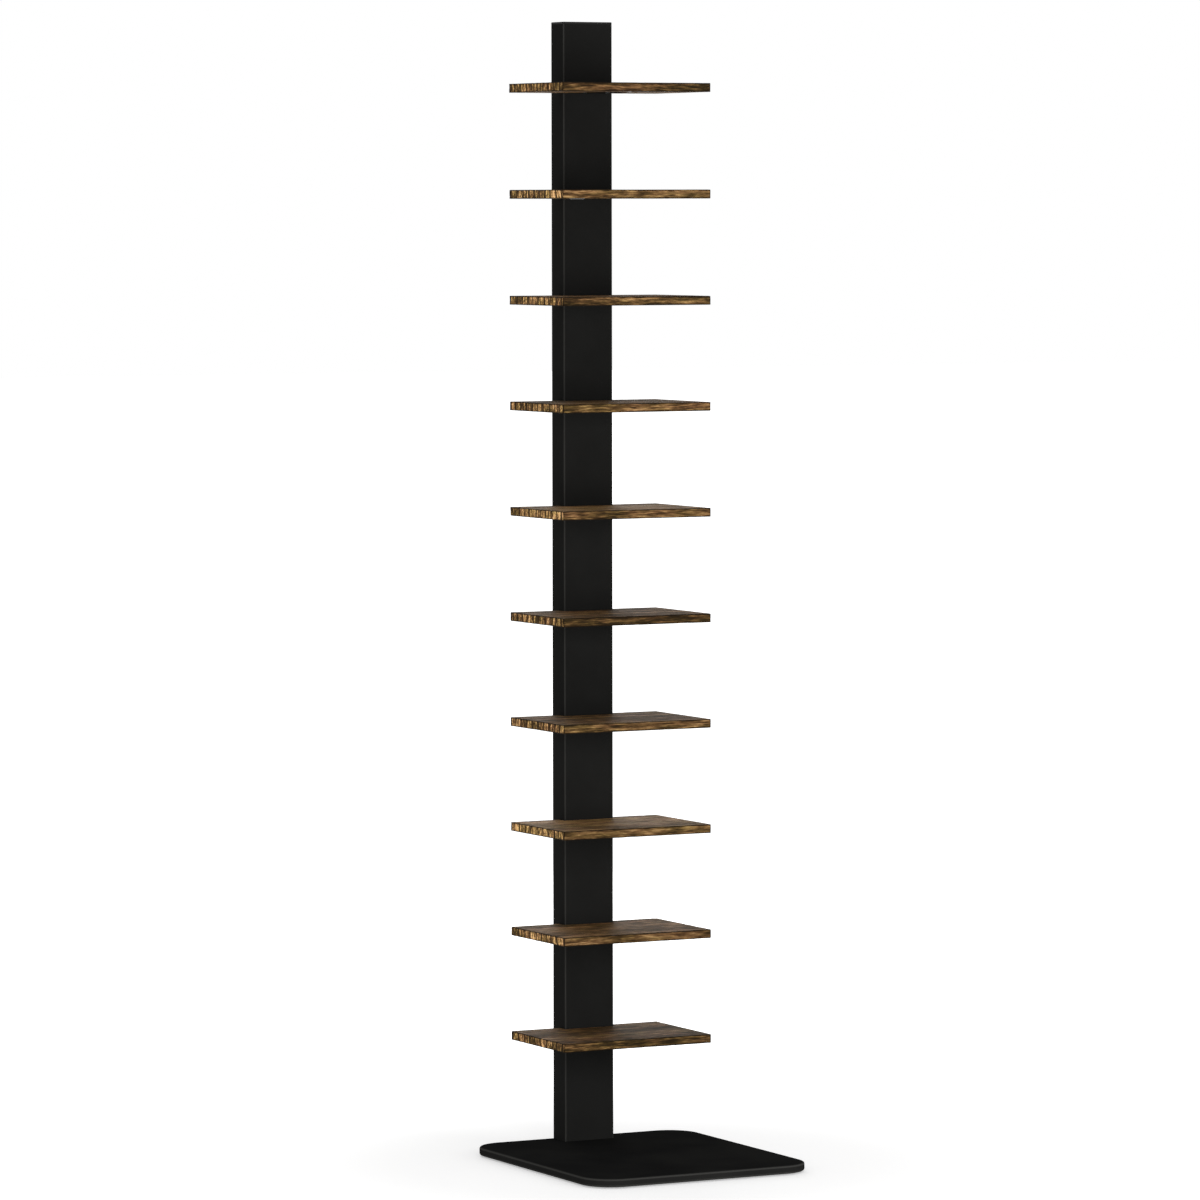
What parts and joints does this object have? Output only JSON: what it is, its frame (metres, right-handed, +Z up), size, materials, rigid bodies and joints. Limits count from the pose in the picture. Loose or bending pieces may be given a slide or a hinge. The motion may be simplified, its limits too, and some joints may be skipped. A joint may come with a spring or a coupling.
{
  "type": "spine bookshelf",
  "caption": "Tall free-standing book tower: a slim black steel column on a rounded base plate carries small scorched-wood shelves, open in front and at both sides.",
  "frame": {"origin": "on the floor under the middle of the base plate's outline", "axes": "+Z up along the column; the shelves' front edges face -Y and the column stands at the +Y side; +X is to the right for someone who stands in front"},
  "size_m": [0.355, 0.405, 1.647],
  "materials": {
    "black_powder_coat": "matt black powder coat on steel",
    "scorched_wood": "solid softwood, scorched, brushed and oiled to a rustic brown",
    "black_plastic": "moulded black polypropylene",
    "zinc_plated_steel": "bright zinc plating",
    "foam_pad": "black closed-cell foam rubber"
  },
  "bodies": {
    "root": {"base_plate": "black_powder_coat", "base_pads": "foam_pad", "column_tube": "black_powder_coat", "column_foot": "black_powder_coat", "foot_screws": "zinc_plated_steel", "top_cap": "black_plastic", "shelf_board_01": "scorched_wood", "shelf_tongue_01": "black_powder_coat", "shelf_screws_01": "zinc_plated_steel", "shelf_board_02": "scorched_wood", "shelf_tongue_02": "black_powder_coat", "shelf_screws_02": "zinc_plated_steel", "shelf_board_03": "scorched_wood", "shelf_tongue_03": "black_powder_coat", "shelf_screws_03": "zinc_plated_steel", "shelf_board_04": "scorched_wood", "shelf_tongue_04": "black_powder_coat", "shelf_screws_04": "zinc_plated_steel", "shelf_board_05": "scorched_wood", "shelf_tongue_05": "black_powder_coat", "shelf_screws_05": "zinc_plated_steel", "shelf_board_06": "scorched_wood", "shelf_tongue_06": "black_powder_coat", "shelf_screws_06": "zinc_plated_steel", "shelf_board_07": "scorched_wood", "shelf_tongue_07": "black_powder_coat", "shelf_screws_07": "zinc_plated_steel", "shelf_board_08": "scorched_wood", "shelf_tongue_08": "black_powder_coat", "shelf_screws_08": "zinc_plated_steel", "shelf_board_09": "scorched_wood", "shelf_tongue_09": "black_powder_coat", "shelf_screws_09": "zinc_plated_steel", "shelf_board_10": "scorched_wood", "shelf_tongue_10": "black_powder_coat", "shelf_screws_10": "zinc_plated_steel"}
  },
  "joints": []
}
